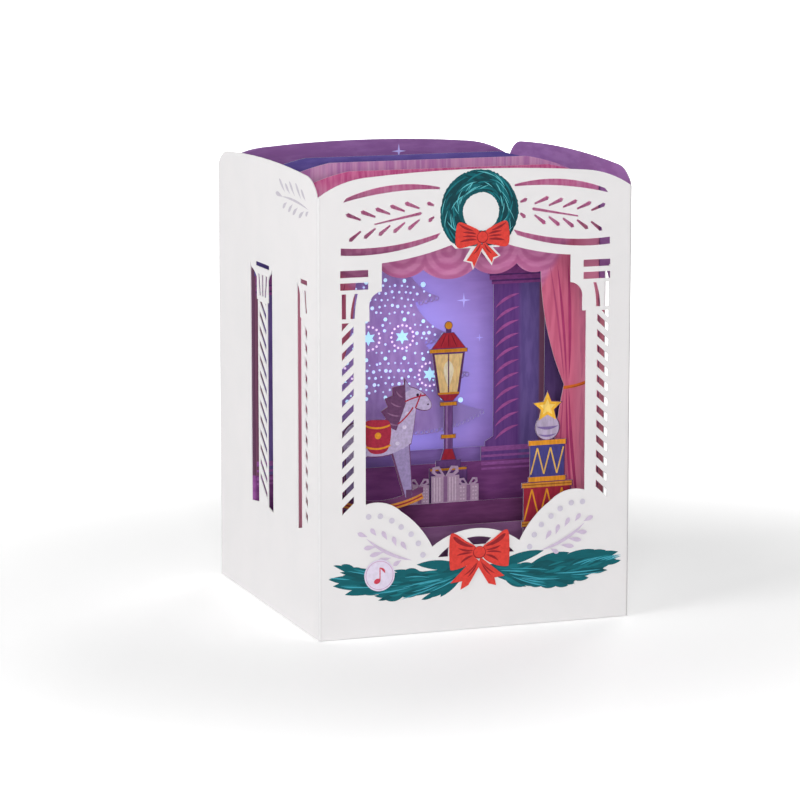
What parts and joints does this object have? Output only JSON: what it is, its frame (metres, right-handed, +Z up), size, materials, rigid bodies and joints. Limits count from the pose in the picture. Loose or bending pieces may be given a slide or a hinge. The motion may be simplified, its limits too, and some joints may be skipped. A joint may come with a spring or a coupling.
{
  "type": "pop-up greeting card",
  "caption": "Stand-up pop-up card: a white die-cut folded sleeve that opens to a square box round layered stage sheets with a tree, toys, a lamp and a press-to-play sound unit.",
  "frame": {"origin": "on the floor under the middle of the opened box", "axes": "+X to the right as seen from the front, the front wall faces -Y, +Z up"},
  "size_m": [0.108, 0.108, 0.1505],
  "materials": {
    "white_card": "matte",
    "toy_card": "matte",
    "curtain_card": "matte",
    "border_card": "matte",
    "gift_card": "matte",
    "column_card": "matte",
    "lamp_post_card": "matte",
    "tree_card": "matte",
    "unit_plastic": "matte",
    "board_laminate": "satin",
    "speaker_plastic": "matte",
    "cell_steel": "brushed",
    "button_plastic": "matte",
    "lamp_plastic": "gloss",
    "lead_plastic": "matte"
  },
  "bodies": {
    "card": {"sleeve": "white_card", "toy_rail": "toy_card", "curtain_frame": "curtain_card", "border_frame": "border_card", "gift_stack": "gift_card", "column_frame": "column_card", "lamp_post": "lamp_post_card", "tree": "tree_card", "unit_case": "unit_plastic", "unit_cover": "unit_plastic", "circuit_board": "board_laminate", "speaker": "speaker_plastic", "button_cells": "cell_steel", "lamp_board": "board_laminate", "lamp": "lamp_plastic", "lamp_lead": "lead_plastic"},
    "button": {"push_button": "button_plastic"}
  },
  "joints": [
    {"name": "button_press", "type": "slide", "parent": "card", "child": "button", "axis": [0, 1, 0], "range_m": [0, 0.00045], "stiffness_N_per_m": 2500}
  ]
}
